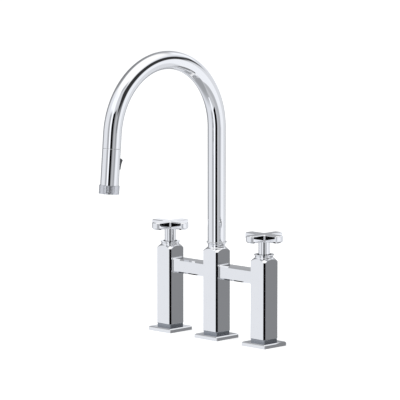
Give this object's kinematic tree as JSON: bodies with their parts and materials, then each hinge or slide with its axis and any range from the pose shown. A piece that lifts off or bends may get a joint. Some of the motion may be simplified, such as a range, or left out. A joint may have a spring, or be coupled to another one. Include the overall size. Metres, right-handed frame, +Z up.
{
  "type": "bridge kitchen faucet",
  "caption": "Bridge kitchen faucet: square posts on square plates, cross handles, a swivelling gooseneck spout and a pull-down spray wand with a toggle.",
  "frame": {"origin": "centre of the middle post's base plate, on the counter's surface", "axes": "+Z up, X along the bridge with the hot side at -X, -Y towards the user and the spray wand"},
  "size_m": [0.2714, 0.2816, 0.568],
  "materials": {
    "chrome": "polished chrome plate on brass",
    "brass": "machined brass",
    "steel": "stainless steel",
    "seal_rubber": "black sealing rubber",
    "ceramic": "lapped alumina ceramic",
    "white_plastic": "bearing plastic",
    "black_plastic": "moulded black plastic",
    "grey_plastic": "dark grey soft-touch plastic",
    "magnet": "nickel plated magnet",
    "braid": "braided nylon over a rubber hose",
    "nozzle_rubber": "soft grey silicone"
  },
  "bodies": {
    "root": {"center_base_plate": "chrome", "plate_seals": "seal_rubber", "center_post": "chrome", "center_shank": "brass", "center_clamp_gasket": "seal_rubber", "center_clamp_washer": "steel", "center_mounting_nut": "brass", "side_clamp_gaskets": "seal_rubber", "side_clamp_washers": "steel", "side_mounting_nuts": "brass", "inlet_seals": "seal_rubber", "fixed_discs": "ceramic", "bridge_seals": "seal_rubber", "water_sleeve": "brass", "sleeve_seals": "seal_rubber", "outlet_tube": "steel", "thrust_washer": "white_plastic", "spout_retaining_screw": "steel", "hot_base_plate": "chrome", "hot_post": "chrome", "hot_shank": "brass", "hot_bridge_bar": "chrome", "hot_cartridge_body": "brass", "cold_base_plate": "chrome", "cold_post": "chrome", "cold_shank": "brass", "cold_bridge_bar": "chrome", "cold_cartridge_body": "brass"},
    "spout": {"spout_tube": "chrome", "spout_foot": "brass", "slip_rings": "white_plastic", "spray_hose": "braid", "hose_tail": "braid", "hose_connector": "black_plastic", "dock_insert": "black_plastic", "dock_magnet": "magnet"},
    "hose_end": {"hose_end_fitting": "steel"},
    "wand": {"hose_coupling": "brass", "wand_neck": "black_plastic", "magnet_keeper": "steel", "wand_shell": "chrome", "waterway": "black_plastic", "toggle_pin": "steel", "knurled_ring": "chrome", "nozzle_plate": "nozzle_rubber", "aerator": "black_plastic"},
    "toggle": {"toggle": "grey_plastic"},
    "diverter": {"diverter_spool": "white_plastic"},
    "hot_handle": {"hot_turning_disc": "ceramic", "hot_spindle": "brass", "hot_spindle_clip": "steel", "hot_handle_stem": "chrome", "hot_cross_handle": "chrome", "hot_handle_screw": "steel"},
    "cold_handle": {"cold_turning_disc": "ceramic", "cold_spindle": "brass", "cold_spindle_clip": "steel", "cold_handle_stem": "chrome", "cold_cross_handle": "chrome", "cold_handle_screw": "steel"}
  },
  "joints": [
    {"name": "hot_handle_turn", "type": "hinge", "parent": "root", "child": "hot_handle", "pos_m": [-0.1016, 0, 0.16], "axis": [0, 0, 1], "range_deg": [0, 90]},
    {"name": "cold_handle_turn", "type": "hinge", "parent": "root", "child": "cold_handle", "pos_m": [0.1016, 0, 0.16], "axis": [0, 0, 1], "range_deg": [-90, 0]},
    {"name": "spout_swivel", "type": "hinge", "parent": "root", "child": "spout", "pos_m": [0, 0, 0.16], "axis": [0, 0, 1], "range_deg": [-180, 180]},
    {"name": "wand_pull", "type": "slide", "parent": "spout", "child": "hose_end", "axis": [0, -0.0842, -0.9964], "range_m": [0, 0.45], "deforming": ["hose_tail"]},
    {"name": "wand_turn", "type": "hinge", "parent": "hose_end", "child": "wand", "pos_m": [0, -0.22647, 0.31685], "axis": [0, -0.0842, -0.9964], "range_deg": [-180, 180]},
    {"name": "toggle_rock", "type": "hinge", "parent": "wand", "child": "toggle", "pos_m": [0, -0.21918, 0.28673], "axis": [1, 0, 0], "range_deg": [0, 9], "stiffness_Nm_per_rad": 0.04},
    {"name": "diverter_slide", "type": "slide", "parent": "wand", "child": "diverter", "axis": [0, -0.0842, -0.9964], "range_m": [0, 0.001]}
  ],
  "couplings": [
    {"joint": "toggle_rock", "follows": "diverter_slide", "rad_per_m": 157.08}
  ]
}
